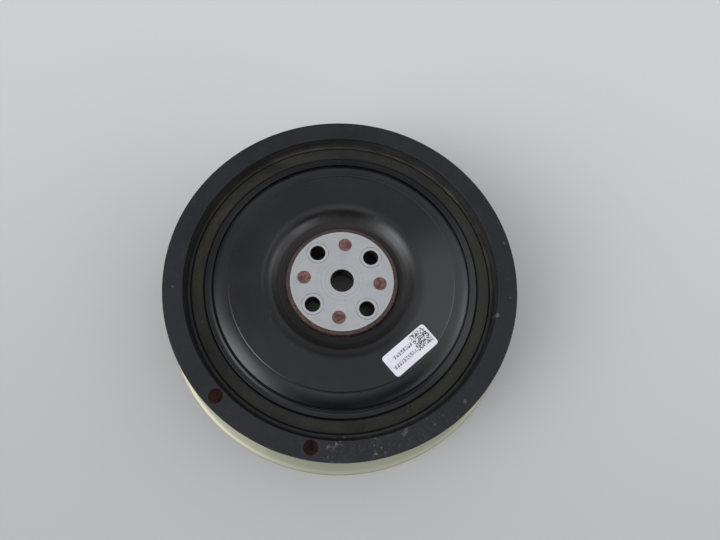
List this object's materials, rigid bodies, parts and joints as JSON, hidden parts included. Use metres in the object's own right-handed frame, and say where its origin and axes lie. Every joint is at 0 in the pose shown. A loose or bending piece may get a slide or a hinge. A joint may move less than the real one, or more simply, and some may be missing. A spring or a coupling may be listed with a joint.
{
  "type": "crankshaft belt pulley",
  "caption": "Round crankshaft belt pulley with a torsional damper: hub with bolt holes, rubber ring, heavy outer ring with V-ribbed belt grooves, and a rear guide flange.",
  "frame": {"origin": "middle of the circle on which the pulley lies, which is the lowest edge of its guide flange, on the shaft axis", "axes": "+Z along the shaft axis from the engine side to the front face; +X towards one of the dimples of the hub"},
  "size_m": [0.201, 0.201, 0.042],
  "materials": {
    "coated_iron": "blue-black dip coat, satin, lightly scuffed",
    "passivated_steel": "pale yellow zinc passivation, satin",
    "rubber": "matt, dusty",
    "coated_steel": "black dip coat, half gloss; centre seat machined bare, rust round it",
    "paper": "white printed label"
  },
  "bodies": {
    "root": {"damper_ring": "coated_iron", "guide_flange": "passivated_steel", "rubber_ring": "rubber", "hub": "coated_steel", "label": "paper"}
  },
  "joints": []
}
